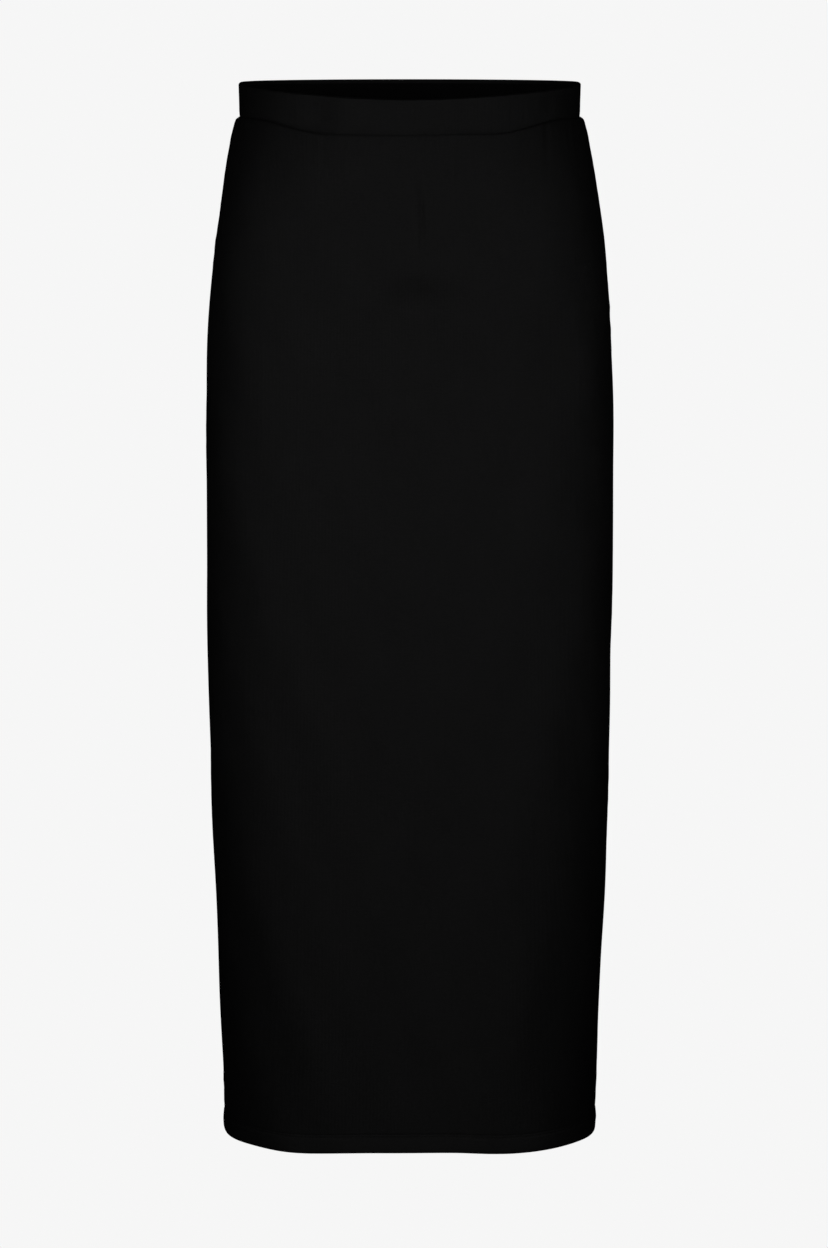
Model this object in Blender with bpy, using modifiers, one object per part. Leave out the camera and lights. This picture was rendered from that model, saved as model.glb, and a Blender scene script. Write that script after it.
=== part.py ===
"""A midi skirt in black double knit: a narrow pencil shape with an elasticated waistband.

The skirt is filled out as if worn, with nothing inside it. It is four pieces of cloth:
a front and a back panel, joined at the side seams, and the two halves of the waistband.
Sizes are in metres. The origin is the middle of the waistband at the side seams' level, on
the skirt's upright axis. +Z is up, and the front faces -Y.
"""
import math
from collections import namedtuple

import bmesh
import bpy

COLLECTION_NAME = "midi_skirt"

# Heights, as drops below the waistband's top edge at the side seams.
WAISTBAND_HEIGHT = 0.0285
SKIRT_LENGTH = 0.8687
HEM_ALLOWANCE = 0.0170
TOP_Z = WAISTBAND_HEIGHT / 2

# The waistline dips in front, most at the centre. Behind, it rises just past the side seams and
# is nearly level from there on. The top edge dips all the way from side to side, and the waist
# seam between these angles from straight ahead. The rows of the panels level out again by the
# last drop.
TOP_DIP = 0.0118
TOP_DIP_POWER = 1.25
BACK_RISE = 0.0014
BACK_RISE_POWER = 0.45
SEAM_DIP = 0.0110
SEAM_DIP_STARTS = math.radians(66)
SEAM_DIP_FULL = math.radians(36)
LEVEL_DROP = 0.260

# Cloth.
PANEL_THICKNESS = 0.0012
WAISTBAND_THICKNESS = 0.0030
WAISTBAND_EDGE_THICKNESS = 0.0020
SEAM_GAP = 0.0003
HEM_STEP = 0.0010

# How finely the pieces are divided.
COLUMNS_PER_PIECE = 30
ROW_HEIGHT = 0.030

# Cross-sections, level with the side seams. Each is a rounded oblong: half its width, its depth
# in front of and behind the axis, and the power that squares off each half (2 is an ellipse).
Section = namedtuple("Section", "drop half_width front back front_power back_power")
WAISTBAND_SECTIONS = (
    Section(0.0000, 0.1389, 0.0965, 0.0990, 2.40, 2.25),
    Section(0.0130, 0.1385, 0.0962, 0.0986, 2.40, 2.25),
    Section(0.0240, 0.1382, 0.0959, 0.0984, 2.40, 2.25),
    Section(0.0285, 0.1394, 0.0963, 0.0989, 2.40, 2.25),
)
PANEL_SECTIONS = (
    Section(0.0285, 0.1396, 0.0964, 0.0990, 2.40, 2.25),
    Section(0.0300, 0.1411, 0.0972, 0.1001, 2.42, 2.25),
    Section(0.0320, 0.1423, 0.0978, 0.1009, 2.45, 2.25),
    Section(0.0350, 0.1432, 0.0982, 0.1017, 2.50, 2.25),
    Section(0.0420, 0.1444, 0.0988, 0.1034, 2.60, 2.25),
    Section(0.0600, 0.1483, 0.0998, 0.1077, 2.80, 2.27),
    Section(0.0900, 0.1529, 0.1008, 0.1134, 3.00, 2.30),
    Section(0.1300, 0.1590, 0.1015, 0.1190, 3.20, 2.34),
    Section(0.1800, 0.1632, 0.1008, 0.1216, 3.35, 2.38),
    Section(0.2400, 0.1658, 0.1002, 0.1222, 3.45, 2.42),
    Section(0.3200, 0.1665, 0.0996, 0.1188, 3.50, 2.46),
    Section(0.4200, 0.1664, 0.0989, 0.1140, 3.50, 2.50),
    Section(0.5200, 0.1660, 0.0983, 0.1104, 3.45, 2.55),
    Section(0.6200, 0.1634, 0.0979, 0.1069, 3.35, 2.60),
    Section(0.7200, 0.1600, 0.0978, 0.1035, 3.20, 2.68),
    Section(0.8010, 0.1566, 0.0975, 0.1008, 3.02, 2.75),
    Section(0.8687, 0.1554, 0.0975, 0.0995, 2.87, 2.80),
)

# The largest soft folds: swells (+) and hollows (-), each round a point of the cloth given by
# its angle from straight ahead (degrees, towards +X) and its drop. Width and reach are where a
# fold has faded to about a third.
Fold = namedtuple("Fold", "angle drop rise width reach")
FOLDS = (
    Fold(-45, 0.869, +0.0013, 15, 0.230),
    Fold(+3, 0.869, -0.0004, 16, 0.260),
    Fold(+43, 0.869, +0.0014, 13, 0.280),
    Fold(+2, 0.176, -0.0014, 16, 0.030),
    Fold(-52, 0.300, +0.0010, 10, 0.110),
    Fold(+58, 0.330, +0.0008, 9, 0.140),
    Fold(180, 0.345, -0.0022, 30, 0.075),
    Fold(-138, 0.869, +0.0017, 14, 0.260),
    Fold(+144, 0.869, +0.0014, 13, 0.300),
    Fold(178, 0.869, -0.0008, 20, 0.240),
)
# A swell at the hem hangs this much lower for each unit that it stands out.
HEM_DROOP = 1.5

Material = namedtuple("Material", "color roughness")
BLACK_KNIT = Material((0.013, 0.013, 0.014, 1.0), 0.90)
BLACK_BAND = Material((0.012, 0.012, 0.013, 1.0), 0.88)


def clear_scene():
    """Remove whatever objects the open scene holds."""
    for leftover in list(bpy.data.objects):
        bpy.data.objects.remove(leftover, do_unlink=True)


def new_collection(name):
    """A collection for the skirt's pieces, linked to the scene."""
    collection = bpy.data.collections.new(name)
    bpy.context.scene.collection.children.link(collection)
    return collection


def new_material(name, look):
    """A plain fabric material."""
    material = bpy.data.materials.new(name)
    material.use_nodes = True
    shader = material.node_tree.nodes["Principled BSDF"]
    shader.inputs["Base Color"].default_value = look.color
    shader.inputs["Roughness"].default_value = look.roughness
    shader.inputs["Metallic"].default_value = 0.0
    material.diffuse_color = look.color
    return material


def slope(sections, index):
    """How a section's sizes change with the drop, from its two neighbours."""
    above = sections[max(index - 1, 0)]
    below = sections[min(index + 1, len(sections) - 1)]
    return [(low - high) / (below.drop - above.drop) for high, low in zip(above, below)]


def section_at(sections, drop):
    """The section at a drop, on a smooth curve through the table's rows."""
    index = 0
    while index < len(sections) - 2 and sections[index + 1].drop <= drop:
        index += 1
    high, low = sections[index], sections[index + 1]
    step = low.drop - high.drop
    part = (drop - high.drop) / step
    high_weight = 1 + part * part * (2 * part - 3)
    high_slope_weight = step * part * (1 - part) ** 2
    low_slope_weight = step * part * part * (part - 1)
    sizes = [
        high_weight * start + (1 - high_weight) * end
        + high_slope_weight * leave + low_slope_weight * arrive
        for start, end, leave, arrive in zip(
            high, low, slope(sections, index), slope(sections, index + 1))
    ]
    return Section(*sizes)


def outline_radius(section, angle):
    """Distance from the axis to a section's outline, at an angle from straight ahead."""
    ahead = math.cos(angle)
    depth = section.front if ahead > 0 else section.back
    power = section.front_power if ahead > 0 else section.back_power
    across = abs(math.sin(angle)) / section.half_width
    along = abs(ahead) / depth
    return (across ** power + along ** power) ** (-1 / power)


def fold_rise(angle, drop):
    """How far the soft folds move the cloth out from its section."""
    total = 0.0
    for fold in FOLDS:
        turn = math.degrees(angle) - fold.angle
        turn = (turn + 180) % 360 - 180
        sideways = turn / fold.width
        upright = (drop - fold.drop) / fold.reach
        total += fold.rise * math.exp(-sideways ** 2 - upright ** 2)
    return total


def eased(start, end, value):
    """0 at the start and 1 at the end, with a soft turn at each."""
    part = min(max((value - start) / (end - start), 0), 1)
    return part * part * (3 - 2 * part)


def waistline_tilt(angle, drop):
    """How far the dipping waistline lowers the cloth, fading out down the panels."""
    ahead = math.cos(angle)
    if ahead > 0:
        at_top = TOP_DIP * ahead ** TOP_DIP_POWER
        at_seam = SEAM_DIP * eased(SEAM_DIP_STARTS, SEAM_DIP_FULL, abs(angle))
    else:
        at_top = at_seam = -BACK_RISE * (-ahead) ** BACK_RISE_POWER
    in_waistband = at_top + (at_seam - at_top) * eased(0, WAISTBAND_HEIGHT, drop)
    return in_waistband * (1 - eased(WAISTBAND_HEIGHT, LEVEL_DROP, drop))


def cloth_point(sections, angle, drop):
    """A point of the cloth's outer face."""
    rise = fold_rise(angle, drop)
    radius = outline_radius(section_at(sections, drop), angle) + rise
    droop = HEM_DROOP * max(rise, 0) * (drop / SKIRT_LENGTH) ** 4
    height = TOP_Z - drop - waistline_tilt(angle, drop) - droop
    return (radius * math.sin(angle), -radius * math.cos(angle), height)


def column_angles(sections, facing):
    """Angles of a piece's columns, from side seam to side seam, round the way it faces."""
    side_gap = SEAM_GAP / 2 / sections[-1].half_width
    reach = math.pi / 2 - side_gap
    step = 2 * reach / COLUMNS_PER_PIECE
    return [facing - reach + step * column for column in range(COLUMNS_PER_PIECE + 1)]


def drops_between(sections, start, end):
    """Rows at each section and evenly between them, from one drop to another."""
    drops = [start]
    for high, low in zip(sections, sections[1:]):
        rows = max(1, round((low.drop - high.drop) / ROW_HEIGHT))
        for row in range(rows):
            drop = high.drop + (low.drop - high.drop) * row / rows
            if start + SEAM_GAP < drop < end - SEAM_GAP:
                drops.append(drop)
    return drops + [end]


def cloth_piece(name, sections, facing, drops, thicknesses, material, collection):
    """One piece of cloth: its outer face lofted through the sections, thickened inwards."""
    mesh = bpy.data.meshes.new(name)
    loft = bmesh.new()
    grid = [
        [loft.verts.new(cloth_point(sections, angle, drop))
         for angle in column_angles(sections, facing)]
        for drop in drops
    ]
    for upper, lower in zip(grid, grid[1:]):
        for column in range(COLUMNS_PER_PIECE):
            loft.faces.new(
                (upper[column], lower[column], lower[column + 1], upper[column + 1]))
    loft.to_mesh(mesh)
    loft.free()
    mesh.shade_smooth()

    piece = bpy.data.objects.new(name, mesh)
    collection.objects.link(piece)
    mesh.materials.append(material)

    thinnest, thickest = min(thicknesses), max(thicknesses)
    thick_rows = piece.vertex_groups.new(name="thick_rows")
    row_length = COLUMNS_PER_PIECE + 1
    for row, thickness in enumerate(thicknesses):
        share = (thickness - thinnest) / (thickest - thinnest)
        corners = range(row * row_length, (row + 1) * row_length)
        thick_rows.add(list(corners), share, "REPLACE")

    wall = piece.modifiers.new("cloth_wall", "SOLIDIFY")
    wall.thickness = thickest
    wall.offset = -1.0
    wall.vertex_group = thick_rows.name
    wall.thickness_vertex_group = thinnest / thickest
    return piece


def panel(name, facing, material, collection):
    """A front or back panel, doubled at the hem where it is turned up inside."""
    hem_top = SKIRT_LENGTH - HEM_ALLOWANCE
    single_rows = drops_between(
        PANEL_SECTIONS, WAISTBAND_HEIGHT + SEAM_GAP / 2, hem_top - HEM_STEP)
    hem_rows = [hem_top, SKIRT_LENGTH]
    thicknesses = [PANEL_THICKNESS] * len(single_rows) + [2 * PANEL_THICKNESS] * len(hem_rows)
    return cloth_piece(
        name, PANEL_SECTIONS, facing, single_rows + hem_rows, thicknesses, material, collection)


def waistband(name, facing, material, collection):
    """A half of the waistband: a strip folded over elastic, thinner along its folded top."""
    rows = drops_between(WAISTBAND_SECTIONS, 0, WAISTBAND_HEIGHT - SEAM_GAP / 2)
    thicknesses = [WAISTBAND_EDGE_THICKNESS] + [WAISTBAND_THICKNESS] * (len(rows) - 1)
    return cloth_piece(
        name, WAISTBAND_SECTIONS, facing, rows, thicknesses, material, collection)


def build_skirt():
    """Make the four pieces of the skirt."""
    clear_scene()
    collection = new_collection(COLLECTION_NAME)
    knit = new_material("black_knit", BLACK_KNIT)
    band = new_material("black_band", BLACK_BAND)
    ahead, behind = 0.0, math.pi
    panel("front_panel", ahead, knit, collection)
    panel("back_panel", behind, knit, collection)
    waistband("waistband_front", ahead, band, collection)
    waistband("waistband_back", behind, band, collection)


build_skirt()
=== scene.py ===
"""The looks of a midi skirt in black double knit, filled out as if worn.

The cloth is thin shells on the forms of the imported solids: two panels, each turned up at the
hem, and two waistband halves, each a strip folded over elastic. Inside are the seam allowances
with their overlocked edges, and round the hem runs a twin row of stitches. Metres throughout.
"""
import math
from collections import namedtuple

import bpy
import numpy as np
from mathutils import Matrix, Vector
from mathutils.bvhtree import BVHTree


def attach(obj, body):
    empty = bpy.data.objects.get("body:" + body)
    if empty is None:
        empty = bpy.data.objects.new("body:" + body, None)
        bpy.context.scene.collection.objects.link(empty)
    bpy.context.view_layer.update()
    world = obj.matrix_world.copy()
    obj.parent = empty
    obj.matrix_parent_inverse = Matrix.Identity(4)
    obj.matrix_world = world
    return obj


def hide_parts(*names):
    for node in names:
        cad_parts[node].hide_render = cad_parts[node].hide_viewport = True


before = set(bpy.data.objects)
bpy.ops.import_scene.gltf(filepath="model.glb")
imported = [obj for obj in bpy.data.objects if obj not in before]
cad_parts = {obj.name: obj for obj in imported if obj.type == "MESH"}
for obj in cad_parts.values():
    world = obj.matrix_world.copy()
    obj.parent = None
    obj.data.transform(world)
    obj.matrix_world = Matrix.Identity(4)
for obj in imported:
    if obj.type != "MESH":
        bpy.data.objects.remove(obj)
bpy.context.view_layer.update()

BODY = "root"

# The pieces, from the waist down.
PANELS = ("front_panel", "back_panel")
WAISTBANDS = ("waistband_front", "waistband_back")
FRONT, BACK = 0.0, math.pi

# Cloth.
PANEL_CLOTH = 0.0011
BAND_CLOTH = 0.0010
BAND_THICKNESS = 0.0030
# From this far down the waistband's fold, its inner face takes a darker knit: painted shade for
# the dim inside of the opening.
PAINTED_SHADE_STARTS = 0.0022
LINING_PAST_SEAM = 0.0006
HEM_THICKNESS = 0.0024
HEM_TURN_UP = 0.0170
SEAM_ALLOWANCE = 0.0090
SIDE_GAP = 0.00015

# Along the waist seam each cloth rolls inwards and presses into the other. The panel's cloth
# lies a little below the waistband's, most of all at a place near the middle.
SEAM_ROLL = 0.00014
SEAM_PRESS = 0.00050
SEAM_STEP = 0.00040
SEAM_STEP_REACH = 0.0035
SEAM_STEP_PLACE = -0.012
SEAM_STEP_WIDTH = 0.045
SEAM_STEP_ELSEWHERE = 0.06

# The seam holds both cloths out a little, less near that place and not at the side seams.
SEAM_LIFT = 0.0015
SEAM_LIFT_EASE = 0.55
SEAM_LIFT_REACH = 0.0040
SEAM_LIFT_FADE = 0.025

# Stitching.
STITCH_ROWS = (0.0136, 0.0158)
STITCH_LENGTH = 0.0032
STITCH_SHARE = 0.82
THREAD_RADIUS = 0.00019
FINE_THREAD_RADIUS = 0.00014
OVERLOCK_PITCH = 0.0030
OVERLOCK_REACH = 0.0030

# How finely the cloth is divided. Rows are closest together beside the stitches.
PANEL_COLUMNS = 210
BAND_COLUMNS = 230
FIRST_ROW = 0.0005
LONG_ROW = 0.0060
STITCH_ROW = 0.00037
BESIDE_STITCHES = 0.0016
BELOW_STITCHES = 0.0020
FINE_CREASE = 0.0030
FINE_REACH = 0.0075
FINE_COLUMN = 0.0009
# Columns lie this far from a side seam, before the even ones start.
BESIDE_SEAM = (0, 0.0005, 0.0010, 0.0016, 0.0025, 0.0040)
GIRTH_SAMPLES = 2001
PANEL_ROLL_STEPS = 7
BAND_ROLL_STEPS = 5
BEND_STEPS = 10
HEM_ROWS = 9
BAND_OUTER_ROWS = 22
BAND_INNER_ROWS = 16


# ---------------------------------------------------------------- the form of the solids

FORM_COLUMNS = 60
COLUMN_STEP = 2 * math.pi / FORM_COLUMNS
FIRST_COLUMN = -math.pi / 2
FORM_MARGIN = 0.0003
OUTSIDE = 1.0
# A ray this far off its column's angle passes beside the gap between the panels.
OFF_SEAM = 0.0015


def spline_weights(part):
    """Weights of the four samples round a place that lies between the middle two."""
    return (
        ((2 - part) * part - 1) * part / 2,
        ((3 * part - 5) * part * part + 2) / 2,
        ((4 - 3 * part) * part + 1) * part / 2,
        (part - 1) * part * part / 2,
    )


class Form:
    """The outer face of two solids that go round the axis together, read smoothly anywhere."""

    def __init__(self, nodes, rows, crowding):
        self.crowding = crowding
        self.last_row = rows - 1
        self.tops, self.bottoms = self.edges(nodes)
        self.height = float(np.mean(self.tops - self.bottoms))
        trees = [self.tree(node) for node in nodes]
        radii = [
            [self.radius_of(trees, column, row) for column in range(FORM_COLUMNS)]
            for row in range(rows)
        ]
        self.radii = self.evened(np.array(radii))

    @staticmethod
    def tree(node):
        return BVHTree.FromObject(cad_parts[node], bpy.context.evaluated_depsgraph_get())

    @staticmethod
    def edges(nodes):
        """Heights of the upper and lower edge at each column."""
        tops = np.full(FORM_COLUMNS, -np.inf)
        bottoms = np.full(FORM_COLUMNS, np.inf)
        for node in nodes:
            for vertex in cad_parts[node].data.vertices:
                x, y, z = vertex.co
                angle = math.atan2(x, -y)
                column = round((angle - FIRST_COLUMN) / COLUMN_STEP) % FORM_COLUMNS
                tops[column] = max(tops[column], z)
                bottoms[column] = min(bottoms[column], z)
        return tops, bottoms

    def radius_of(self, trees, column, row):
        """How far the solids' outer face is from the axis."""
        share = (row / self.last_row) ** self.crowding
        top = self.tops[column] - FORM_MARGIN
        bottom = self.bottoms[column] + FORM_MARGIN
        angle = FIRST_COLUMN + COLUMN_STEP * column + OFF_SEAM
        outward = Vector((math.sin(angle), -math.cos(angle), 0))
        start = outward * OUTSIDE + Vector((0, 0, top + (bottom - top) * share))
        hits = [tree.ray_cast(start, -outward)[3] for tree in trees]
        return OUTSIDE - min(hit for hit in hits if hit is not None)

    @staticmethod
    def evened(radii):
        """The solids' facets smoothed away along each column, but not at its ends."""
        even = radii.copy()
        for _ in range(2):
            even[1:-1] = (even[:-2] + 2 * even[1:-1] + even[2:]) / 4
        return even

    def radius(self, angle, share):
        """Distance from the axis at an angle and a share of the height, from the top."""
        row = np.clip(share, 0, 1) ** (1 / self.crowding) * self.last_row
        column = (angle - FIRST_COLUMN) / COLUMN_STEP
        row_before = np.clip(np.floor(row).astype(int), 0, self.last_row - 1)
        column_before = np.floor(column).astype(int)
        total = 0.0
        for down, weight in enumerate(spline_weights(row - row_before)):
            rows = np.clip(row_before + down - 1, 0, self.last_row)
            for across, other in enumerate(spline_weights(column - column_before)):
                columns = (column_before + across - 1) % FORM_COLUMNS
                total = total + weight * other * self.radii[rows, columns]
        return total

    def edge(self, heights, angle):
        """An edge's height at an angle."""
        column = (angle - FIRST_COLUMN) / COLUMN_STEP
        before = np.floor(column).astype(int)
        weights = spline_weights(column - before)
        return sum(
            weight * heights[(before + across - 1) % FORM_COLUMNS]
            for across, weight in enumerate(weights)
        )

    def point(self, angle, down):
        """A point of the outer face, so far below the upper edge (as an array of points)."""
        share = down / self.height
        radius = self.radius(angle, share)
        top, bottom = self.edge(self.tops, angle), self.edge(self.bottoms, angle)
        height = top + (bottom - top) * share
        return np.stack([radius * np.sin(angle), -radius * np.cos(angle), height], axis=-1)

    def outward(self, angle, down):
        """The outer face's direction there."""
        turn, step = 0.01, 0.002
        low = np.clip(down, step, self.height - step)
        across = self.point(angle + turn, low) - self.point(angle - turn, low)
        along = self.point(angle, low + step) - self.point(angle, low - step)
        return unit(np.cross(along, across))


def unit(vectors):
    """Vectors of length one."""
    return vectors / np.linalg.norm(vectors, axis=-1, keepdims=True)


# ---------------------------------------------------------------- creases and other relief

# A crease is a soft trough (depth below 0) or ridge. Its middle is so far across the piece
# from its centre line (towards the right, as the piece is looked at) and so far down from the
# piece's upper edge. It leans this many degrees to the right of straight down, and its middle
# bows sideways.
Crease = namedtuple("Crease", "across down lean length width depth bow")
FRONT_CREASES = (
    Crease(+0.009, 0.064, +2, 0.072, 0.0021, -0.00150, +0.001),
    Crease(-0.050, 0.060, -24, 0.085, 0.0085, -0.00070, +0.004),
    Crease(+0.066, 0.068, +20, 0.100, 0.0095, -0.00065, -0.004),
    Crease(-0.126, 0.160, -38, 0.120, 0.0120, -0.00085, +0.006),
    Crease(+0.134, 0.195, +34, 0.135, 0.0130, -0.00085, -0.008),
    Crease(+0.016, 0.136, +84, 0.090, 0.0140, -0.00210, +0.005),
    Crease(+0.012, 0.152, +8, 0.090, 0.0120, -0.00210, +0.003),
    Crease(-0.020, 0.245, -70, 0.110, 0.0140, -0.00055, +0.008),
    Crease(+0.034, 0.530, +4, 0.170, 0.0120, -0.00110, +0.003),
    Crease(-0.086, 0.580, -5, 0.230, 0.0170, -0.00080, -0.006),
    Crease(-0.148, 0.430, -7, 0.210, 0.0150, -0.00085, +0.005),
    Crease(+0.146, 0.520, +8, 0.250, 0.0160, -0.00090, -0.005),
    Crease(+0.090, 0.710, +3, 0.180, 0.0150, +0.00080, +0.004),
    Crease(-0.040, 0.750, -3, 0.150, 0.0160, +0.00070, +0.003),
)
BACK_CREASES = (
    Crease(-0.012, 0.066, -3, 0.075, 0.0055, -0.00080, -0.001),
    Crease(+0.064, 0.058, +22, 0.090, 0.0085, -0.00075, -0.003),
    Crease(-0.076, 0.074, -19, 0.105, 0.0095, -0.00070, +0.004),
    Crease(+0.022, 0.312, +84, 0.210, 0.0095, -0.00150, -0.012),
    Crease(-0.034, 0.348, -86, 0.170, 0.0085, -0.00115, -0.010),
    Crease(+0.138, 0.250, +42, 0.140, 0.0130, -0.00095, -0.008),
    Crease(-0.144, 0.235, -36, 0.150, 0.0140, -0.00095, +0.009),
    Crease(-0.050, 0.520, -4, 0.250, 0.0150, -0.00105, +0.005),
    Crease(+0.072, 0.560, +6, 0.220, 0.0170, -0.00095, -0.006),
    Crease(+0.010, 0.640, +80, 0.120, 0.0120, -0.00070, +0.008),
    Crease(-0.120, 0.640, +3, 0.200, 0.0150, +0.00080, +0.004),
    Crease(+0.030, 0.770, -2, 0.140, 0.0140, +0.00075, +0.003),
)
BAND_FRONT_CREASES = (
    Crease(-0.073, 0.014, +6, 0.044, 0.0120, -0.00190, 0.0),
    Crease(+0.118, 0.015, -8, 0.030, 0.0060, -0.00060, 0.0),
    Crease(+0.031, 0.013, +3, 0.030, 0.0045, -0.00030, 0.0),
)
BAND_BACK_CREASES = (
    Crease(+0.052, 0.015, -5, 0.036, 0.0090, -0.00090, 0.0),
    Crease(-0.104, 0.013, +7, 0.034, 0.0070, -0.00070, 0.0),
    Crease(-0.018, 0.015, -2, 0.028, 0.0050, -0.00035, 0.0),
)
# Beside a trough the cloth stands up by this share, this many widths away.
SHOULDER_SHARE = 0.35
SHOULDER_PLACE = 1.7

# Gathers are ripples across the cloth that a loop of unlike waves makes. Each wave's share of
# the height, its length and its place along that length.
Wave = namedtuple("Wave", "share length phase")
GATHER_WAVES = (
    Wave(0.36, 0.0083, 0.3),
    Wave(0.28, 0.0121, 1.9),
    Wave(0.20, 0.0187, 4.1),
    Wave(0.16, 0.0310, 5.2),
)
GATHER_HEIGHT = 0.00042
GATHER_REACH = 0.022
GATHER_FADE_WAVE = 0.093
GATHER_LEAN = 0.03
GATHER_MEAN, GATHER_SWING = 0.6, 0.4
GATHER_REACH_LEAST, GATHER_REACH_MORE = 0.7, 0.6
BAND_WAVES = (
    Wave(0.45, 0.0057, 0.9),
    Wave(0.30, 0.0091, 2.7),
    Wave(0.25, 0.0143, 4.4),
)
BAND_RIPPLE = 0.00011
BAND_RIPPLE_LEAN = 0.05
BAND_RIPPLE_SPAN = (0.08, 0.92)

# Broad low swells all over a panel, slanting two ways.
SWELL_WAVES = (
    Wave(0.40, 0.071, 0.4),
    Wave(0.35, 0.113, 2.2),
    Wave(0.25, 0.187, 3.9),
)
SWELL_HEIGHT = 0.00070
SWELL_STRETCH = 2.6
CROSS_SWELL_SQUEEZE = 1.3
CROSS_SWELL_STRETCH = 2
SWELL_STARTS_BY = 0.12

# Small waves beside the side seams, where the stitching draws the cloth up.
PUCKER_WAVES = (
    Wave(0.50, 0.0170, 1.1),
    Wave(0.30, 0.0260, 3.0),
    Wave(0.20, 0.0440, 5.5),
)
PUCKER_HEIGHT = 0.00040
PUCKER_REACH = 0.012
PUCKER_LEAN = 0.4

# The groove that a side seam makes.
GROOVE_DEPTH = 0.0009
GROOVE_REACH = 0.0012

# The hem.
HEM_SWELL = 0.00040
HEM_SWELL_REACH = 0.0012
HEM_SWELL_STARTS_BY = 0.003
HEM_FLARE = 0.0010
STITCH_GROOVE = 0.00024
STITCH_GROOVE_REACH = 0.0007


def waves(table, place):
    """The sum of a table's waves at places along a line."""
    return sum(wave.share * np.sin(2 * np.pi * place / wave.length + wave.phase) for wave in table)


def crease_relief(creases, across, down):
    """How far the creases raise the cloth."""
    total = np.zeros_like(across)
    for crease in creases:
        lean = math.radians(crease.lean)
        right, below = across - crease.across, down - crease.down
        along = (below * math.cos(lean) + right * math.sin(lean)) / (crease.length / 2)
        aside = right * math.cos(lean) - below * math.sin(lean)
        aside = (aside + crease.bow * (along * along - 0.5)) / crease.width
        fade = np.clip(1 - along * along, 0, 1) ** 2
        shoulder = SHOULDER_SHARE * np.exp(-(aside - SHOULDER_PLACE) ** 2)
        total += crease.depth * fade * (np.exp(-aside * aside) - shoulder)
    return total


def near_seam_step(across):
    """How near a place is to where the waist seam's step is highest, from 0 to 1."""
    return np.exp(-(((across - SEAM_STEP_PLACE) / SEAM_STEP_WIDTH) ** 2))


def seam_lift(across, from_seam, from_side):
    """How far the waist seam holds the cloth out."""
    share = 1 - np.exp(-((from_side / SEAM_LIFT_FADE) ** 2))
    share = share * (1 - SEAM_LIFT_EASE * near_seam_step(across))
    return SEAM_LIFT * share * np.exp(-np.maximum(from_seam, 0) / SEAM_LIFT_REACH)


def panel_relief(creases, length, across, down, from_side):
    """How far a panel's cloth stands out from its form."""
    relief = crease_relief(creases, across, down)
    uneven = GATHER_MEAN + GATHER_SWING * np.sin(2 * np.pi * across / GATHER_FADE_WAVE)
    gather = waves(GATHER_WAVES, across + GATHER_LEAN * down)
    reach = GATHER_REACH * (GATHER_REACH_LEAST + GATHER_REACH_MORE * uneven)
    relief += GATHER_HEIGHT * uneven * gather * np.exp(-down / reach)
    swell = waves(SWELL_WAVES, across + down / SWELL_STRETCH)
    cross = across * CROSS_SWELL_SQUEEZE - down / CROSS_SWELL_STRETCH
    swell = swell + waves(SWELL_WAVES, cross)
    relief += SWELL_HEIGHT * swell * np.clip(down / SWELL_STARTS_BY, 0, 1)
    pucker = waves(PUCKER_WAVES, down + PUCKER_LEAN * from_side)
    relief += PUCKER_HEIGHT * pucker * np.exp(-((from_side / PUCKER_REACH) ** 2))
    relief -= GROOVE_DEPTH * np.exp(-((from_side / GROOVE_REACH) ** 2))
    step = SEAM_STEP * (SEAM_STEP_ELSEWHERE + (1 - SEAM_STEP_ELSEWHERE) * near_seam_step(across))
    relief -= step * np.exp(-np.maximum(down, 0) / SEAM_STEP_REACH)
    relief += seam_lift(across, down, from_side)
    above_edge = length - down
    inside_hem = 0.5 - 0.5 * np.tanh((above_edge - STITCH_ROWS[0]) / HEM_SWELL_REACH)
    relief += HEM_SWELL * inside_hem * np.clip(above_edge / HEM_SWELL_STARTS_BY, 0, 1)
    relief += HEM_FLARE * np.clip(1 - above_edge / STITCH_ROWS[0], 0, 1)
    for row in STITCH_ROWS:
        relief -= STITCH_GROOVE * np.exp(-(((above_edge - row) / STITCH_GROOVE_REACH) ** 2))
    return relief


def band_relief(creases, height, across, down, from_side):
    """How far the waistband's cloth stands out from its form."""
    relief = crease_relief(creases, across, down)
    away_from_edges = np.sin(np.pi * np.clip(down / height, *BAND_RIPPLE_SPAN))
    ripple = waves(BAND_WAVES, across + BAND_RIPPLE_LEAN * down)
    relief += BAND_RIPPLE * ripple * away_from_edges
    relief += seam_lift(across, height - down, from_side)
    relief -= GROOVE_DEPTH * np.exp(-((from_side / GROOVE_REACH) ** 2))
    return relief


# ---------------------------------------------------------------- cloth shells

# A place of a strip's profile: how far down its form the middle of the cloth is, and how far
# inside the outer face.
Place = namedtuple("Place", "down inside")


def arc_places(down, inside, radius, start, end, steps):
    """Places round a bend of the cloth, by the angles where it starts and ends (degrees)."""
    places = []
    for step in range(steps + 1):
        angle = math.radians(start + (end - start) * step / steps)
        places.append(Place(down + radius * math.sin(angle), inside - radius * math.cos(angle)))
    return places


def run_of_rows(start, end, first_row, longest_row, growth=1.35):
    """Rows from one place to another, close together at the start and further apart later."""
    rows, row, here = [], first_row, start
    while here < end:
        rows.append(here)
        here += row
        row = min(row * growth, longest_row)
    return rows


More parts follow.
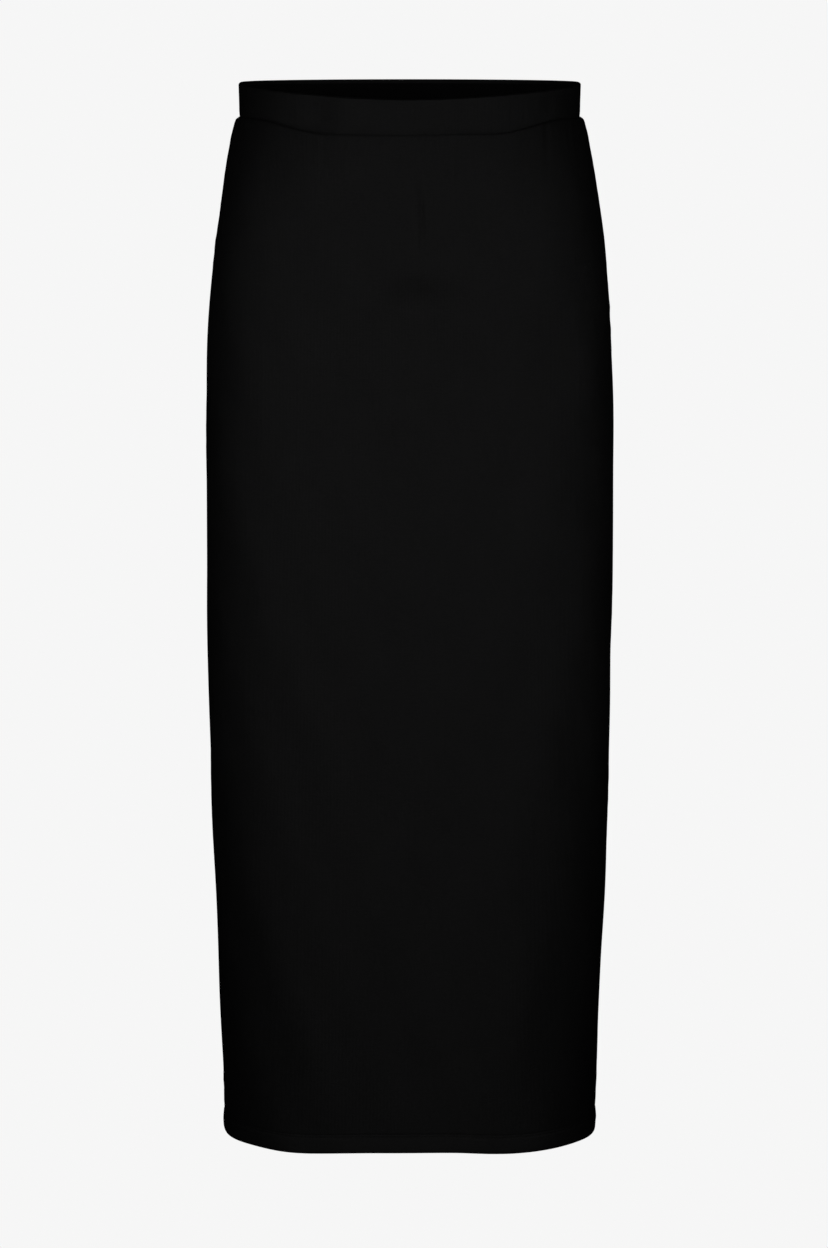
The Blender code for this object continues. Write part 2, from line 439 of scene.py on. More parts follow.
def panel_profile(length):
    """From the waist seam, over its rolled edge, down the outer face and up inside the hem."""
    middle = PANEL_CLOTH / 2
    roll = SEAM_ROLL
    start = roll + middle - SEAM_PRESS
    places = arc_places(start, middle + roll, roll, -170, -20, PANEL_ROLL_STEPS)
    hem_bend = (HEM_THICKNESS - PANEL_CLOTH) / 2
    hem_bottom = length - middle - hem_bend
    stitches = length - STITCH_ROWS[1] - BESIDE_STITCHES
    last_stitches = length - STITCH_ROWS[0]
    downs = run_of_rows(roll + middle, stitches, FIRST_ROW, LONG_ROW)
    downs += list(np.arange(stitches, last_stitches + BESIDE_STITCHES, STITCH_ROW))
    below = last_stitches + BELOW_STITCHES
    downs += list(np.linspace(below, hem_bottom, HEM_ROWS, endpoint=False))
    places += [Place(down, middle) for down in downs]
    places += arc_places(hem_bottom, middle + hem_bend, hem_bend, 0, 180, BEND_STEPS)
    inner = middle + 2 * hem_bend
    inside_hem = np.linspace(hem_bottom, length - HEM_TURN_UP, HEM_ROWS)[1:]
    places += [Place(down, inner) for down in inside_hem]
    return places


def band_profile(height):
    """From the waist seam, up the outer face, over the folded top and down the inner face."""
    middle = BAND_CLOTH / 2
    bend = (BAND_THICKNESS - BAND_CLOTH) / 2
    roll = SEAM_ROLL
    seam = height - roll - middle + SEAM_PRESS
    places = arc_places(seam, middle + roll, roll, 90, 0, BAND_ROLL_STEPS)
    outer = np.linspace(seam, bend + middle, BAND_OUTER_ROWS)[1:-1]
    places += [Place(down, middle) for down in outer]
    places += arc_places(bend + middle, middle + bend, bend, 0, -180, BEND_STEPS)
    inner = np.linspace(bend + middle, height + LINING_PAST_SEAM, BAND_INNER_ROWS)[1:]
    places += [Place(down, middle + 2 * bend) for down in inner]
    return places


def column_angles(form, facing, columns, down, creases=()):
    """Angles from side seam to side seam, evenly spaced, but closer at seams and fine creases."""
    reach = math.pi / 2
    fine = np.linspace(facing - reach, facing + reach, GIRTH_SAMPLES)
    points = form.point(fine, np.full_like(fine, down))
    steps = np.linalg.norm(np.diff(points, axis=0), axis=1)
    lengths = np.concatenate([[0], np.cumsum(steps)])
    girth = lengths[-1]
    near = [SIDE_GAP / 2 + place for place in BESIDE_SEAM]
    between = np.linspace(near[-1], girth - near[-1], columns)[1:-1]
    for crease in creases:
        if crease.width < FINE_CREASE:
            middle = girth / 2 + crease.across
            between = between[abs(between - middle) > FINE_REACH]
            added = np.arange(middle - FINE_REACH, middle + FINE_REACH, FINE_COLUMN)
            between = np.append(between, added)
    wanted = near + sorted(between) + [girth - place for place in reversed(near)]
    return np.interp(wanted, lengths, fine)


def lengths_along(points, axis):
    """Distances along a grid's rows or columns of points."""
    steps = np.linalg.norm(np.diff(points, axis=axis), axis=-1)
    first = np.zeros_like(np.take(steps, [0], axis=axis))
    return np.cumsum(np.concatenate([first, steps], axis=axis), axis=axis)


def grid_faces(rows, columns, closed_rows=False, closed_columns=False):
    """Quads of a grid of points, as an array of four corners each."""
    row = np.arange(rows if closed_rows else rows - 1)[:, None]
    column = np.arange(columns if closed_columns else columns - 1)[None, :]
    next_row, next_column = (row + 1) % rows, (column + 1) % columns
    corners = [row * columns + column, next_row * columns + column,
               next_row * columns + next_column, row * columns + next_column]
    corners = [np.broadcast_to(corner, corners[0].shape) for corner in corners]
    return np.stack(corners, -1).reshape(-1, 4)


def new_mesh(name, points, faces, uv, materials):
    """A smooth mesh object of quads, with the cloth's own lengths as its UV map."""
    mesh = bpy.data.meshes.new(name)
    mesh.from_pydata(points.reshape(-1, 3).tolist(), [], faces.tolist())
    if uv is not None:
        layer = mesh.uv_layers.new(name="cloth")
        layer.data.foreach_set("uv", uv.reshape(-1, 2)[faces.ravel()].ravel())
    for material in materials:
        mesh.materials.append(material)
    mesh.shade_smooth()
    piece = bpy.data.objects.new(name, mesh)
    bpy.context.scene.collection.objects.link(piece)
    return piece


def thicken(piece, thickness):
    """Give a cloth surface its two faces."""
    wall = piece.modifiers.new("cloth", "SOLIDIFY")
    wall.thickness = thickness
    wall.offset = 0.0
    wall.use_even_offset = True


def shell_points(form, angles, places, relief_of):
    """A grid of points of the cloth's middle, for each place of its profile and each angle."""
    angle = np.broadcast_to(angles[None, :], (len(places), len(angles)))
    down = np.broadcast_to(np.array([place.down for place in places])[:, None], angle.shape)
    inside = np.array([place.inside for place in places])[:, None]
    face = form.point(angle, down)
    across = lengths_along(face, axis=1)
    girth = across[:, -1:]
    from_side = np.minimum(across, girth - across)
    relief = relief_of(across - girth / 2, down, from_side)
    points = face + form.outward(angle, down) * (relief - inside)[..., None]
    return points, across - girth / 2


def cloth_shell(name, form, angles, places, relief_of, materials):
    """A shell of cloth and its UV map in metres, across and along the cloth."""
    points, across = shell_points(form, angles, places, relief_of)
    along = lengths_along(points, axis=0)
    faces = grid_faces(len(places), len(angles))
    return new_mesh(name, points, faces, np.stack([across, along], -1), materials)


def make_panel(name, form, facing, creases, materials):
    """The front or back panel."""
    angles = column_angles(form, facing, PANEL_COLUMNS, form.height / 3, creases)
    places = panel_profile(form.height)

    def relief_of(across, down, from_side):
        return panel_relief(creases, form.height, across, down, from_side)

    piece = cloth_shell(name + "_cloth", form, angles, places, relief_of, materials)
    thicken(piece, PANEL_CLOTH)
    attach(piece, BODY)
    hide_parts(name)
    return piece


def make_waistband(name, form, facing, creases, materials):
    """A half of the waistband."""
    angles = column_angles(form, facing, BAND_COLUMNS, form.height / 2)
    places = band_profile(form.height)

    def relief_of(across, down, from_side):
        return band_relief(creases, form.height, across, down, from_side)

    piece = cloth_shell(name + "_cloth", form, angles, places, relief_of, materials)
    thicken(piece, BAND_CLOTH)
    # The faces from this row on take the darker inside knit, painted shade for the dim inside of
    # the waistband.
    painted_shade_row = next(
        row for row, place in enumerate(places)
        if place.inside > BAND_THICKNESS / 2 and place.down > PAINTED_SHADE_STARTS)
    columns = len(angles) - 1
    inner = [int(face // columns >= painted_shade_row) for face in range(len(piece.data.polygons))]
    piece.data.polygons.foreach_set("material_index", inner)
    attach(piece, BODY)
    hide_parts(name)
    return piece


# ---------------------------------------------------------------- inside: seam allowances

ROUND_COLUMNS = 300
RING_SAMPLES = 1201
CLEARANCE = 0.0002
WAIST_ALLOWANCE_CLOTH = 0.0022
WAIST_ALLOWANCE_STARTS = 0.0012
WAIST_ALLOWANCE_WAVE = 0.0003
WAIST_ALLOWANCE_RIPPLES = (23, 5)
ALLOWANCE_BEND_STEPS = 6

# A side seam's allowances lie to both sides of it. Each is so wide, and dips at the seam.
FLAP_WIDTH = 0.0100
FLAP_CLOTH = 0.0010
FLAP_SHARES = (-1, -0.7, -0.4, -0.15, -0.06, 0, 0.06, 0.15, 0.4, 0.7, 1)
FLAP_ROWS = 240
FLAP_DIP = 0.0004
FLAP_DIP_REACH = 0.0008
FLAP_LIFT = 0.00035
FLAP_WAVE_STRETCH = 0.7
FLAP_WAVE_SHIFT = 0.004
ABOVE_TURN_UP = 0.0005


def seam_lift_round(form, angle, down):
    """How far the waist seam holds the cloth out, at angles all round from the first column."""
    ring = np.linspace(FIRST_COLUMN, FIRST_COLUMN + 2 * math.pi, RING_SAMPLES)
    lengths = lengths_along(form.point(ring, np.zeros_like(ring)), axis=0)
    side = np.interp(FIRST_COLUMN + math.pi, ring, lengths)
    place = np.interp(angle, ring, lengths)
    start = np.where(place < side, 0, side)
    end = np.where(place < side, side, lengths[-1])
    return seam_lift(place - (start + end) / 2, down, np.minimum(place - start, end - place))


def make_waist_allowance(form, material):
    """The waist seam's allowances, overlocked together, all round inside the panels' top."""
    half = WAIST_ALLOWANCE_CLOTH / 2
    middle = PANEL_CLOTH + CLEARANCE + half
    end = SEAM_ALLOWANCE - half
    loop = arc_places(end, middle, half, 0, 180, ALLOWANCE_BEND_STEPS)
    loop += arc_places(WAIST_ALLOWANCE_STARTS, middle, half, 180, 360, ALLOWANCE_BEND_STEPS)
    angles = np.linspace(FIRST_COLUMN, FIRST_COLUMN + 2 * math.pi, ROUND_COLUMNS, endpoint=False)
    angle = np.broadcast_to(angles[None, :], (len(loop), ROUND_COLUMNS))
    down = np.broadcast_to(np.array([place.down for place in loop])[:, None], angle.shape)
    inside = np.array([place.inside for place in loop])[:, None]
    often, seldom = WAIST_ALLOWANCE_RIPPLES
    wave = WAIST_ALLOWANCE_WAVE * np.sin(often * angle) * np.sin(seldom * angle + 1)
    depth = inside + wave - seam_lift_round(form, angle, down)
    points = form.point(angle, down) - form.outward(angle, down) * depth[..., None]
    uv = np.stack([angle * form.radii.mean(), down + inside], -1)
    faces = grid_faces(len(loop), ROUND_COLUMNS, closed_rows=True, closed_columns=True)
    piece = new_mesh("waist_seam_allowance", points, faces, uv, [material])
    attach(piece, BODY)
    return piece


def side_seam_grid(form, side, offsets, inside, start, end, rows):
    """Points and directions of lines that run down beside a side seam, inside the cloth."""
    downs = np.linspace(start, end, rows)
    seam = np.full_like(downs, side)
    radius = np.linalg.norm(form.point(seam, downs)[:, :2], axis=1)
    angle = side + np.array(offsets)[None, :] / radius[:, None]
    down = np.broadcast_to(downs[:, None], angle.shape)
    outward = form.outward(angle, down)
    points = form.point(angle, down) - outward * np.broadcast_to(inside, angle.shape)[..., None]
    return points, outward, down


def make_side_allowance(name, form, side, material):
    """A side seam's allowances, pressed open against the inside of the panels."""
    offsets = np.array([share * FLAP_WIDTH for share in FLAP_SHARES])
    rest = PANEL_CLOTH + FLAP_CLOTH / 2 + CLEARANCE
    dips = [FLAP_DIP * math.exp(-(offset / FLAP_DIP_REACH) ** 2) for offset in offsets]
    end = form.height - HEM_TURN_UP - ABOVE_TURN_UP
    lift = FLAP_LIFT * np.abs(offsets / FLAP_WIDTH)
    downs = np.linspace(SEAM_ALLOWANCE, end, FLAP_ROWS)[:, None]
    shift = np.sign(offsets) * FLAP_WAVE_SHIFT
    flutter = waves(PUCKER_WAVES, downs * FLAP_WAVE_STRETCH + shift)
    inside = (rest - np.array(dips)) + lift * (1 + flutter)
    points, _, down = side_seam_grid(
        form, side, offsets, inside, SEAM_ALLOWANCE, end, FLAP_ROWS)
    uv = np.stack([np.broadcast_to(offsets, down.shape), down], -1)
    piece = new_mesh(name, points, grid_faces(FLAP_ROWS, len(offsets)), uv, [material])
    thicken(piece, FLAP_CLOTH)
    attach(piece, BODY)
    return piece


# ---------------------------------------------------------------- thread

THREAD_SIDES = 5
HEM_SAMPLES = 1200
HEM_LINE_MARGIN = 0.004
STITCH_POINTS = 6
# In thread radii: how high a stitch arches, how deep its ends lie, and how thick it is.
STITCH_RISE, STITCH_DIP = 1.5, 0.75
STITCH_END, STITCH_SWELL = 0.55, 0.45
OVERLOCK_STEPS = 6
HEM_OVERLOCK_PAST_EDGE = 0.0006
SIDE_SAMPLES = 400
SIDE_OVERLOCK_OFF_CLOTH = 0.0008
SIDE_OVERLOCK_PAST_EDGE = 0.0004
WAIST_SAMPLES = 2400
WAIST_OVERLOCK_PAST_EDGE = 0.0003


def thread_mesh(name, paths, outward, radii, material):
    """Lengths of thread as one mesh. Each path is a row of points, with the cloth's direction."""
    along = unit(np.gradient(paths, axis=1))
    aside = unit(np.cross(along, outward))
    up = np.cross(aside, along)
    turn = np.arange(THREAD_SIDES) * 2 * math.pi / THREAD_SIDES
    ring = (up[..., None, :] * np.cos(turn)[:, None] + aside[..., None, :] * np.sin(turn)[:, None])
    points = paths[..., None, :] + ring * radii[None, :, None, None]
    count, length = paths.shape[:2]
    faces = grid_faces(length, THREAD_SIDES, closed_columns=True)
    step = np.arange(count)[:, None, None] * length * THREAD_SIDES
    sides = (faces[None] + step).reshape(-1, 4).tolist()
    first = np.arange(THREAD_SIDES)[::-1] + step[:, 0]
    last = np.arange(THREAD_SIDES) + (length - 1) * THREAD_SIDES + step[:, 0]
    mesh = bpy.data.meshes.new(name)
    mesh.from_pydata(points.reshape(-1, 3).tolist(), [], sides + first.tolist() + last.tolist())
    mesh.materials.append(material)
    mesh.shade_smooth()
    piece = bpy.data.objects.new(name, mesh)
    bpy.context.scene.collection.objects.link(piece)
    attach(piece, BODY)
    return piece


def hem_line(form, facing, above_edge, creases, outside):
    """A line round a panel's hem at a height above its edge, at a distance off its outer face."""
    reach = math.pi / 2 - HEM_LINE_MARGIN
    angles = np.linspace(facing - reach, facing + reach, HEM_SAMPLES)
    places = [Place(form.height - height, -outside) for height in above_edge]

    def relief_of(across, down, from_side):
        return panel_relief(creases, form.height, across, down, from_side)

    points, _ = shell_points(form, angles, places, relief_of)
    down = np.broadcast_to(np.array([place.down for place in places])[:, None], points.shape[:2])
    outward = form.outward(np.broadcast_to(angles[None, :], down.shape), down)
    return points, outward


def read_along(line, lengths, wanted):
    """Points of a line at wanted lengths along it."""
    return np.stack([np.interp(wanted, lengths, line[:, axis]) for axis in range(3)], -1)


def make_hem_stitches(name, form, facing, creases, material):
    """The twin row of stitches round a panel's hem, dipping into the cloth between stitches."""
    lines, outward = hem_line(form, facing, STITCH_ROWS, creases, outside=0.0)
    profile = np.linspace(0, 1, STITCH_POINTS)
    arch = np.sin(np.pi * profile)
    lift = THREAD_RADIUS * (STITCH_RISE * arch - STITCH_DIP)
    paths, directions = [], []
    for line, facing_out in zip(lines, outward):
        lengths = lengths_along(line, axis=0)
        starts = np.arange(STITCH_LENGTH, lengths[-1] - STITCH_LENGTH, STITCH_LENGTH)
        wanted = starts[:, None] + profile[None, :] * STITCH_LENGTH * STITCH_SHARE
        out = unit(read_along(facing_out, lengths, wanted))
        paths.append(read_along(line, lengths, wanted) + out * lift[None, :, None])
        directions.append(out)
    radii = THREAD_RADIUS * (STITCH_END + STITCH_SWELL * arch)
    return thread_mesh(name, np.concatenate(paths), np.concatenate(directions), radii, material)


def zigzag(edges, outward):
    """A line of thread that runs to and fro between two lines, over the edge between them."""
    first, second = edges
    lengths = lengths_along(first, axis=0)
    count = int(lengths[-1] / OVERLOCK_PITCH) * OVERLOCK_STEPS
    wanted = np.linspace(0, lengths[-1], count)
    turn = wanted / OVERLOCK_PITCH * 2 * math.pi
    share = (0.5 - 0.5 * np.cos(turn))[:, None]
    near, far = read_along(first, lengths, wanted), read_along(second, lengths, wanted)
    out = unit(read_along(outward[0], lengths, wanted))
    return near + (far - near) * share, out


def make_hem_overlock(name, form, facing, creases, material):
    """The looper thread that covers the hem's cut edge on the inside."""
    heights = (STITCH_ROWS[0], HEM_TURN_UP + HEM_OVERLOCK_PAST_EDGE)
    depth = HEM_THICKNESS + FINE_THREAD_RADIUS
    lines, outward = hem_line(form, facing, heights, creases, outside=-depth)
    path, out = zigzag(lines, outward)
    radii = np.full(len(path), FINE_THREAD_RADIUS)
    return thread_mesh(name, path[None], out[None], radii, material)


def make_side_overlock(name, form, side, material):
    """Overlock threads over the two edges of a side seam's allowances."""
    end = form.height - HEM_TURN_UP - ABOVE_TURN_UP
    depth = PANEL_CLOTH + FLAP_CLOTH + SIDE_OVERLOCK_OFF_CLOTH
    paths, directions = [], []
    for direction in (-1, 1):
        offsets = [direction * (FLAP_WIDTH - OVERLOCK_REACH),
                   direction * (FLAP_WIDTH + SIDE_OVERLOCK_PAST_EDGE)]
        points, outward, _ = side_seam_grid(
            form, side, offsets, depth, SEAM_ALLOWANCE, end, SIDE_SAMPLES)
        path, out = zigzag(points.transpose(1, 0, 2), outward.transpose(1, 0, 2))
        paths.append(path)
        directions.append(out)
    shortest = min(len(path) for path in paths)
    paths = np.stack([path[:shortest] for path in paths])
    directions = np.stack([out[:shortest] for out in directions])
    return thread_mesh(name, paths, directions, np.full(shortest, FINE_THREAD_RADIUS), material)


def make_waist_overlock(form, material):
    """Overlock thread round the lower edge of the waist seam's allowances."""
    angles = np.linspace(FIRST_COLUMN, FIRST_COLUMN + 2 * math.pi, WAIST_SAMPLES)
    inside = PANEL_CLOTH + CLEARANCE + WAIST_ALLOWANCE_CLOTH + 2 * FINE_THREAD_RADIUS
    lines, directions = [], []
    for down in (SEAM_ALLOWANCE - OVERLOCK_REACH, SEAM_ALLOWANCE + WAIST_OVERLOCK_PAST_EDGE):
        downs = np.full_like(angles, down)
        outward = form.outward(angles, downs)
        depth = inside - seam_lift_round(form, angles, downs)
        lines.append(form.point(angles, downs) - outward * depth[:, None])
        directions.append(outward)
    path, out = zigzag(np.stack(lines), np.stack(directions))
    radii = np.full(len(path), FINE_THREAD_RADIUS)
    return thread_mesh("waist_overlock", path[None], out[None], radii, material)


# ---------------------------------------------------------------- materials

WALE_WIDTH = 0.00115
COURSE_HEIGHT = 0.00085

Knit = namedtuple("Knit", "dark light roughness specular bump")
FACE_KNIT = Knit((0.0050, 0.0050, 0.0053), (0.0096, 0.0096, 0.0100), 0.63, 0.32, 0.00022)
BAND_KNIT = Knit((0.0048, 0.0048, 0.0051), (0.0092, 0.0092, 0.0096), 0.63, 0.31, 0.00020)
# The waistband's inside is a darker copy of the knit: painted shade for the dim inside of the
# opening.
SHADED_INNER_KNIT = Knit((0.0032, 0.0032, 0.0034), (0.0060, 0.0060, 0.0063), 0.78, 0.16, 0.00020)

# The knit's bump: how unevenly its stitches lie, their slant and height, and the fuzz on them.
LOOSE_SCALE, LOOSE_SHARE = 260.0, 0.5
STITCH_SLANT = 0.55
STITCH_HEIGHT, RIB_HEIGHT = 0.22, 0.72
FUZZ_SCALE, FUZZ_SHARE = 2600.0, 0.45
BUMP_STRENGTH = 0.55

# How the knit's tone is mixed, and the part of its range that goes from dark to light.
SPECKLE_SCALES, STREAK_SCALES, MOTTLE_SCALE = (330.0, 760.0), (60.0, 900.0), 22.0
SPECKLE_SHARE, STREAK_SHARE, MOTTLE_SHARE = 0.50, 0.25, 0.25
TONE_RANGE = (0.36, 0.64)

THREAD_COLOR = (0.009, 0.009, 0.0095)
THREAD_ROUGHNESS, THREAD_SPECULAR = 0.62, 0.30
TWIST_SCALE, TWIST_DEPTH = 3200.0, 0.00006


class Nodes:
    """Adds nodes to a material and links them."""

    def __init__(self, material):
        self.tree = material.node_tree

    def add(self, kind, **settings):
        node = self.tree.nodes.new(kind)
        for name, value in settings.items():
            setattr(node, name, value)
        return node

    def link(self, source, target):
        if isinstance(source, (int, float)):
            target.default_value = source
        else:
            self.tree.links.new(source, target)

    def math(self, operation, first, second=None):
        node = self.add("ShaderNodeMath", operation=operation)
        self.link(first, node.inputs[0])
        if second is not None:
            self.link(second, node.inputs[1])
        return node.outputs[0]

    def noise(self, vector, scale, detail):
        node = self.add("ShaderNodeTexNoise")
        self.link(vector, node.inputs["Vector"])
        node.inputs["Scale"].default_value = scale
        node.inputs["Detail"].default_value = detail
        return node.outputs["Fac"]

    def stretched(self, vector, across, along):
        node = self.add("ShaderNodeVectorMath", operation="MULTIPLY")
        self.link(vector, node.inputs[0])
        node.inputs[1].default_value = (across, along, 1.0)
        return node.outputs[0]


def new_shader(name, roughness, specular):
    """A material with its shader set up, its node helper and the shader."""
    material = bpy.data.materials.new(name)
    material.use_nodes = True
    shader = material.node_tree.nodes["Principled BSDF"]
    shader.inputs["Roughness"].default_value = roughness
    shader.inputs["Specular IOR Level"].default_value = specular
    return material, Nodes(material), shader


def knit_height(nodes, vector):
    """Height of the knit's face: upright ribs of small slanting stitches, none quite alike."""
    loose = nodes.noise(vector, LOOSE_SCALE, 2.0)
    shift = nodes.math("MULTIPLY", nodes.math("SUBTRACT", loose, 0.5), LOOSE_SHARE)
    parts = nodes.add("ShaderNodeSeparateXYZ")
    nodes.link(vector, parts.inputs[0])
    wale = nodes.math("ADD", nodes.math("DIVIDE", parts.outputs["X"], WALE_WIDTH), shift)
    course = nodes.math("ADD", nodes.math("DIVIDE", parts.outputs["Y"], COURSE_HEIGHT), shift)
    from_rib = nodes.math("MULTIPLY", nodes.math("ABSOLUTE", nodes.math(
        "SUBTRACT", nodes.math("FRACT", wale), 0.5)), 2.0)
    rib = nodes.math("SUBTRACT", 1.0, nodes.math("POWER", from_rib, 2.0))
    slant = nodes.math("ADD", course, nodes.math("MULTIPLY", from_rib, STITCH_SLANT))
    stitch = nodes.math("SINE", nodes.math("MULTIPLY", slant, 2 * math.pi))
    stitch = nodes.math("ADD", nodes.math("MULTIPLY", stitch, STITCH_HEIGHT), RIB_HEIGHT)
    fuzz = nodes.math("MULTIPLY", nodes.noise(vector, FUZZ_SCALE, 3.0), FUZZ_SHARE)
    return nodes.math("ADD", nodes.math("MULTIPLY", rib, stitch), fuzz)


def knit_material(name, knit):
    """Black double knit: fine ribs and stitches, a slight speckle, and a broad soft mottle."""
    material, nodes, shader = new_shader(name, knit.roughness, knit.specular)
    uv = nodes.add("ShaderNodeUVMap", uv_map="cloth").outputs["UV"]
    height = knit_height(nodes, uv)

    speckle = nodes.noise(nodes.stretched(uv, *SPECKLE_SCALES), 1.0, 3.0)
    streak = nodes.noise(nodes.stretched(uv, *STREAK_SCALES), 1.0, 2.0)
    mottle = nodes.noise(uv, MOTTLE_SCALE, 3.0)
    tone = nodes.math("ADD", nodes.math("MULTIPLY", speckle, SPECKLE_SHARE),
                      nodes.math("MULTIPLY", streak, STREAK_SHARE))
    tone = nodes.math("ADD", tone, nodes.math("MULTIPLY", mottle, MOTTLE_SHARE))
    contrast = nodes.add("ShaderNodeMapRange")
    nodes.link(tone, contrast.inputs["Value"])
    contrast.inputs["From Min"].default_value = TONE_RANGE[0]
    contrast.inputs["From Max"].default_value = TONE_RANGE[1]

    colors = nodes.add("ShaderNodeMix", data_type="RGBA")
    nodes.link(contrast.outputs[0], colors.inputs["Factor"])
    colors.inputs[6].default_value = (*knit.dark, 1.0)
    colors.inputs[7].default_value = (*knit.light, 1.0)
    nodes.link(colors.outputs[2], shader.inputs["Base Color"])

    bump = nodes.add("ShaderNodeBump")
    bump.inputs["Distance"].default_value = knit.bump
    bump.inputs["Strength"].default_value = BUMP_STRENGTH
    nodes.link(height, bump.inputs["Height"])
    nodes.link(bump.outputs[0], shader.inputs["Normal"])
    return material


def thread_material():
    """Black sewing thread, a little smoother than the knit, twisted."""
    material, nodes, shader = new_shader("black_thread", THREAD_ROUGHNESS, THREAD_SPECULAR)
    shader.inputs["Base Color"].default_value = (*THREAD_COLOR, 1.0)
    place = nodes.add("ShaderNodeTexCoord").outputs["Object"]
    bump = nodes.add("ShaderNodeBump")
    bump.inputs["Distance"].default_value = TWIST_DEPTH
    nodes.link(nodes.noise(place, TWIST_SCALE, 1.0), bump.inputs["Height"])
    nodes.link(bump.outputs[0], shader.inputs["Normal"])
    return material


# ---------------------------------------------------------------- floor, light and camera

PALE = 0.922
FLOOR_HEIGHT = -1.20
FLOOR_WIDTH = 16.0

CAMERA_PLACE = (0.0035, -3.300, 0.060)
CAMERA_PITCH = 8.45
FOCAL_LENGTH = 0.11618
SENSOR_WIDTH = 0.036
MM = 1000

# Each light is a soft panel at a compass angle from straight ahead (towards +X) and a height
# angle, aimed at a height on the skirt's axis, its beam spread over so many degrees. The two
# faint ones just inside the openings stand for what a pale room sends in.
Light = namedtuple("Light", "name around up distance width height power aim spread")
LIGHTS = (
    Light("front_low", 0, -5, 2.8, 0.8, 1.0, 5.1, -0.48, 180),
    Light("front_high", 0, 25, 2.8, 0.8, 1.0, 3.7, -0.46, 180),
    Light("side_left", -60, 10, 2.8, 0.8, 1.0, 0.9, -0.42, 180),
    Light("side_right", 60, 10, 2.8, 0.8, 1.0, 0.9, -0.42, 180),
    Light("hip_left", -47, 8, 1.8, 0.5, 0.5, 0.086, -0.25, 40),
    Light("hip_right", 54, 8, 1.8, 0.5, 0.5, 0.078, -0.25, 40),
    Light("back", 180, 4, 2.8, 0.8, 0.8, 12.0, -0.50, 180),
    Light("into_waist", 0, 90, 0.30, 0.22, 0.12, 0.026, -0.35, 180),
    Light("into_hem", 0, -90, 0.30, 0.24, 0.13, 0.045, -0.54, 180),
)


def around_axis(around, up, distance, height):
    """A place at a compass angle and a height angle from a point of the axis."""
    around, up = math.radians(around), math.radians(up)
    flat = distance * math.cos(up)
    height = height + distance * math.sin(up)
    return Vector((flat * math.sin(around), -flat * math.cos(around), height))


def make_light(light):
    """A soft panel light, not seen itself."""
    data = bpy.data.lights.new(light.name, "AREA")
    data.shape = "RECTANGLE"
    data.size = light.width
    data.size_y = light.height
    data.energy = light.power
    data.spread = math.radians(light.spread)
    lamp = bpy.data.objects.new(light.name, data)
    bpy.context.scene.collection.objects.link(lamp)
    lamp.location = around_axis(light.around, light.up, light.distance, light.aim)
    aim = Vector((0, 0, light.aim)) - lamp.location
    lamp.rotation_euler = aim.to_track_quat("-Z", "Y").to_euler()
    lamp.visible_camera = False


def make_surroundings():
    """Pale all round, as in a studio: it is seen, but its light doesn't reach the cloth."""
    world = bpy.data.worlds.new("pale_studio")
    world.use_nodes = True
    background = world.node_tree.nodes["Background"]
    background.inputs["Color"].default_value = (PALE, PALE, PALE, 1.0)
    background.inputs["Strength"].default_value = 1.0
    bpy.context.scene.world = world
    for ray in ("diffuse", "glossy", "transmission", "scatter"):
        setattr(world.cycles_visibility, ray, False)


def make_floor():
    """A plain pale floor under the skirt, seen from above only."""
    material = bpy.data.materials.new("pale_floor")
    material.use_nodes = True
    nodes = Nodes(material)
    material.node_tree.nodes.remove(material.node_tree.nodes["Principled BSDF"])
    glow = nodes.add("ShaderNodeEmission")
    glow.inputs["Color"].default_value = (PALE, PALE, PALE, 1.0)
    clear = nodes.add("ShaderNodeBsdfTransparent")
    side = nodes.add("ShaderNodeNewGeometry").outputs["Backfacing"]
    mix = nodes.add("ShaderNodeMixShader")
    nodes.link(side, mix.inputs[0])
    nodes.link(glow.outputs[0], mix.inputs[1])
    nodes.link(clear.outputs[0], mix.inputs[2])
    nodes.link(mix.outputs[0], material.node_tree.nodes["Material Output"].inputs["Surface"])

    half = FLOOR_WIDTH / 2
    corners = np.array([(-half, -half), (half, -half), (half, half), (-half, half)])
    points = np.concatenate([corners, np.full((4, 1), FLOOR_HEIGHT)], axis=1)
    floor = new_mesh("floor", points, np.array([[0, 1, 2, 3]]), None, [material])
    for ray in ("diffuse", "glossy", "transmission", "shadow"):
        setattr(floor, "visible_" + ray, False)


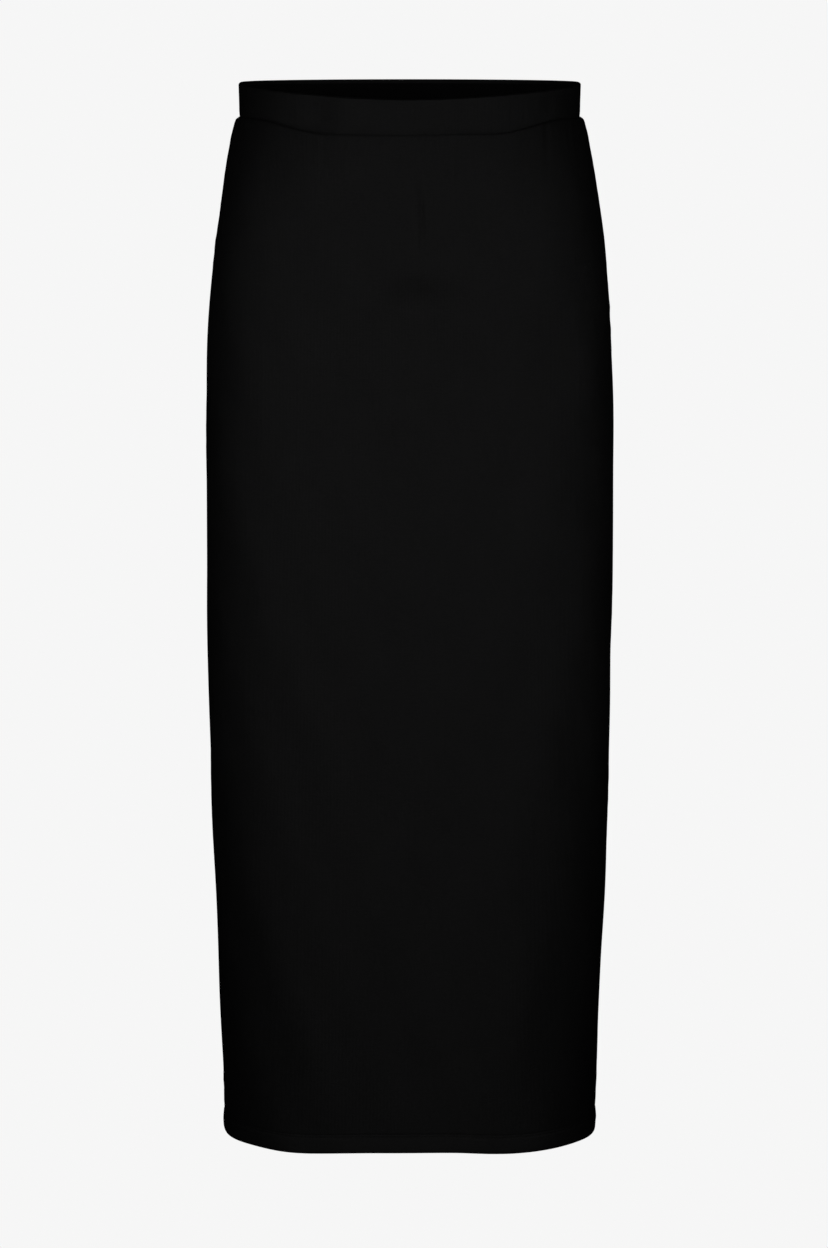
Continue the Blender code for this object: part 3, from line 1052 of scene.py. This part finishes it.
def make_camera():
    """The camera at the photograph's viewing angle."""
    data = bpy.data.cameras.new("camera")
    data.lens = FOCAL_LENGTH * MM
    data.sensor_width = SENSOR_WIDTH * MM
    camera = bpy.data.objects.new("camera", data)
    bpy.context.scene.collection.objects.link(camera)
    camera.location = CAMERA_PLACE
    camera.rotation_euler = (math.radians(90 - CAMERA_PITCH), 0, 0)
    bpy.context.scene.camera = camera


# ---------------------------------------------------------------- the skirt

def build():
    """Make the skirt's cloth, its seam allowances and its stitches."""
    panel_form = Form(PANELS, rows=60, crowding=1.6)
    band_form = Form(WAISTBANDS, rows=9, crowding=1.0)

    face = knit_material("black_knit", FACE_KNIT)
    band = knit_material("black_band", BAND_KNIT)
    # The darker inside knit is painted shade.
    inner = knit_material("black_band_inside_painted_shade", SHADED_INNER_KNIT)
    thread = thread_material()

    front = make_panel("front_panel", panel_form, FRONT, FRONT_CREASES, [face])
    back = make_panel("back_panel", panel_form, BACK, BACK_CREASES, [face])
    band_front = make_waistband(
        "waistband_front", band_form, FRONT, BAND_FRONT_CREASES, [band, inner])
    band_back = make_waistband("waistband_back", band_form, BACK, BAND_BACK_CREASES, [band, inner])

    allowance = make_waist_allowance(panel_form, face)
    waist_overlock = make_waist_overlock(panel_form, thread)
    left = make_side_allowance("left_side_allowance", panel_form, math.pi / 2, face)
    right = make_side_allowance("right_side_allowance", panel_form, -math.pi / 2, face)
    left_overlock = make_side_overlock("left_side_overlock", panel_form, math.pi / 2, thread)
    right_overlock = make_side_overlock("right_side_overlock", panel_form, -math.pi / 2, thread)

    front_stitches = make_hem_stitches(
        "front_hem_stitches", panel_form, FRONT, FRONT_CREASES, thread)
    back_stitches = make_hem_stitches("back_hem_stitches", panel_form, BACK, BACK_CREASES, thread)
    front_looper = make_hem_overlock("front_hem_looper", panel_form, FRONT, FRONT_CREASES, thread)
    back_looper = make_hem_overlock("back_hem_looper", panel_form, BACK, BACK_CREASES, thread)


build()
make_surroundings()
make_floor()
for light in LIGHTS:
    make_light(light)
make_camera()
bpy.context.scene.view_settings.view_transform = "Standard"
bpy.context.view_layer.update()
